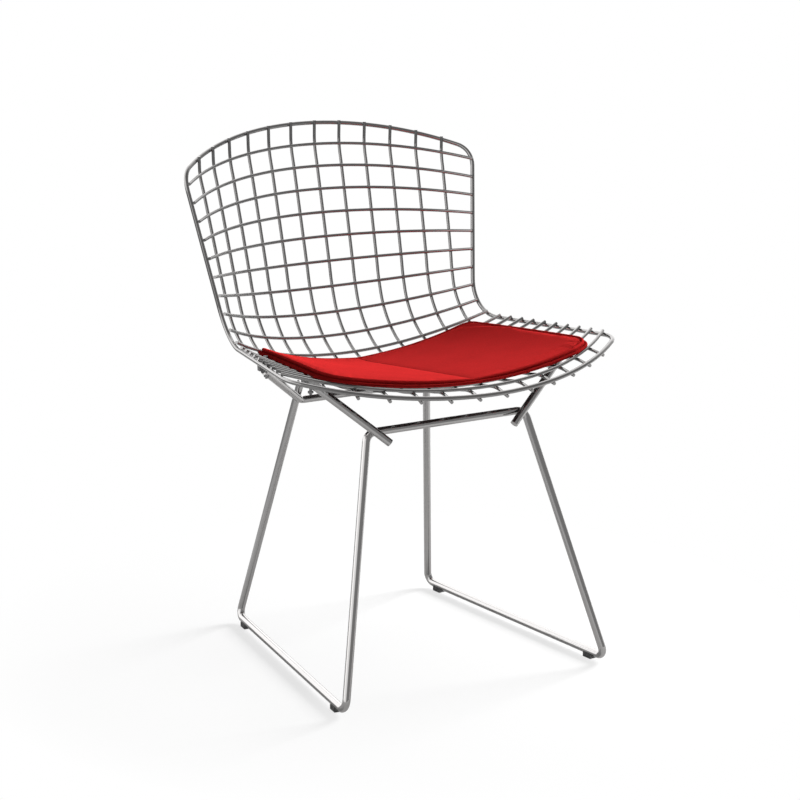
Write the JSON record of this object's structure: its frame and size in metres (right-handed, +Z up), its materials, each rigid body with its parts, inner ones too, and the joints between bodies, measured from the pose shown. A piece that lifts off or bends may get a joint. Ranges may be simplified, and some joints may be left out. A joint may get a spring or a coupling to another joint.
{
  "type": "wire mesh side chair",
  "caption": "Side chair with a dished shell of crossing steel wires on a bent rod sled base, with a thin fabric seat pad.",
  "frame": {"origin": "on the floor, under the middle of the chair's overall width and depth", "axes": "+X to the chair's right side as seen from the front, +Y from the front edge of the seat to the back, +Z up"},
  "size_m": [0.5426, 0.5797, 0.7578],
  "materials": {
    "wire_chrome": "bright chrome on steel wire",
    "rod_chrome": "bright chrome on steel rod",
    "clip_steel": "plain zinc-plated steel",
    "glide": "matt dark grey plastic",
    "pad_fabric": "red woven upholstery fabric, flat with a welted edge"
  },
  "bodies": {
    "root": {"clip_bolts": "clip_steel", "clip_cap_front_left": "clip_steel", "clip_cap_front_right": "clip_steel", "clip_cap_rear_left": "clip_steel", "clip_cap_rear_right": "clip_steel", "clip_jaw_front_left": "clip_steel", "clip_jaw_front_right": "clip_steel", "clip_jaw_rear_left": "clip_steel", "clip_jaw_rear_right": "clip_steel", "clip_nuts": "clip_steel", "cradle_rod": "rod_chrome", "cross_wire_01": "wire_chrome", "cross_wire_02": "wire_chrome", "cross_wire_03": "wire_chrome", "cross_wire_04": "wire_chrome", "cross_wire_05": "wire_chrome", "cross_wire_06": "wire_chrome", "cross_wire_07": "wire_chrome", "cross_wire_08": "wire_chrome", "cross_wire_09": "wire_chrome", "cross_wire_10": "wire_chrome", "cross_wire_11": "wire_chrome", "cross_wire_12": "wire_chrome", "cross_wire_13": "wire_chrome", "cross_wire_14": "wire_chrome", "cross_wire_15": "wire_chrome", "cross_wire_16": "wire_chrome", "cross_wire_17": "wire_chrome", "cross_wire_18": "wire_chrome", "cross_wire_19": "wire_chrome", "cross_wire_20": "wire_chrome", "glide_front_left": "glide", "glide_front_right": "glide", "glide_rear_left": "glide", "glide_rear_right": "glide", "long_wire_01": "wire_chrome", "long_wire_02": "wire_chrome", "long_wire_03": "wire_chrome", "long_wire_04": "wire_chrome", "long_wire_05": "wire_chrome", "long_wire_06": "wire_chrome", "long_wire_07": "wire_chrome", "long_wire_08": "wire_chrome", "long_wire_09": "wire_chrome", "long_wire_10": "wire_chrome", "long_wire_11": "wire_chrome", "long_wire_12": "wire_chrome", "rim_wire": "wire_chrome", "seat_pad": "pad_fabric", "sled_rod": "rod_chrome", "strut_left": "rod_chrome", "strut_right": "rod_chrome"}
  },
  "joints": []
}
